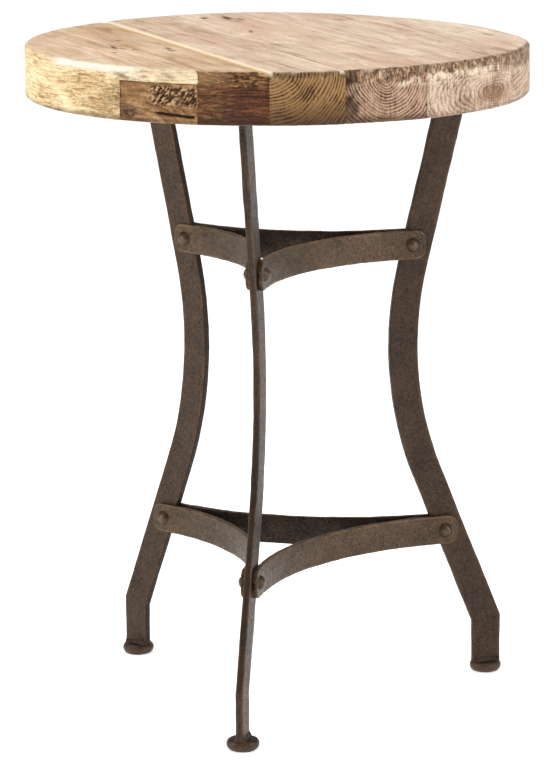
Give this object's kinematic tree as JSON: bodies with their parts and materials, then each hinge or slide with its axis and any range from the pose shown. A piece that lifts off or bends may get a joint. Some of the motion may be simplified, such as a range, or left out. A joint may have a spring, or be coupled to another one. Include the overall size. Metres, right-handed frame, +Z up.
{
  "type": "round side table",
  "caption": "Round side table: thick reclaimed-board top on waisted flat-bar iron legs tied by riveted curved braces at two levels.",
  "frame": {"origin": "on the floor, under the middle of the top", "axes": "+Z up; seen from the legs' own axis, which is 6.5 mm off the top's middle at (5.5, 3.5) mm, leg 1 stands exactly towards -Y, leg 2 at 30 degrees and leg 3 at 150 degrees from +X in plan"},
  "size_m": [0.457, 0.457, 0.61],
  "materials": {
    "pale_wood": "matte oiled, long grain and cream sapwood",
    "red_brown_wood": "matte oiled, reddish brown",
    "golden_wood": "matte oiled, strong growth rings on the end grain",
    "tan_wood": "matte oiled, pinkish tan",
    "patch_wood": "matte, rough sawn",
    "dowel_wood": "plain turned",
    "leg_iron": "dark bronze brown, forged and waxed",
    "brace_iron": "dark bronze brown, hammered and waxed",
    "rivet_iron": "dark bronze brown, hammered dome",
    "foot_iron": "dark bronze brown, turned and waxed",
    "plate_iron": "dark, plain",
    "screw_steel": "dulled steel"
  },
  "bodies": {
    "root": {"plank_1": "pale_wood", "plank_2": "red_brown_wood", "plank_3": "golden_wood", "plank_4": "tan_wood", "plank_5": "tan_wood", "plank_6": "tan_wood", "patch_block": "patch_wood", "plank_dowels": "dowel_wood", "leg_1": "leg_iron", "leg_2": "leg_iron", "leg_3": "leg_iron", "upper_brace_1_2": "brace_iron", "upper_brace_2_3": "brace_iron", "upper_brace_3_1": "brace_iron", "lower_brace_1_2": "brace_iron", "lower_brace_2_3": "brace_iron", "lower_brace_3_1": "brace_iron", "upper_rivets": "rivet_iron", "lower_rivets": "rivet_iron", "foot_1": "foot_iron", "foot_2": "foot_iron", "foot_3": "foot_iron", "mounting_plate_1": "plate_iron", "mounting_plate_2": "plate_iron", "mounting_plate_3": "plate_iron", "plate_screws": "screw_steel"}
  },
  "joints": []
}
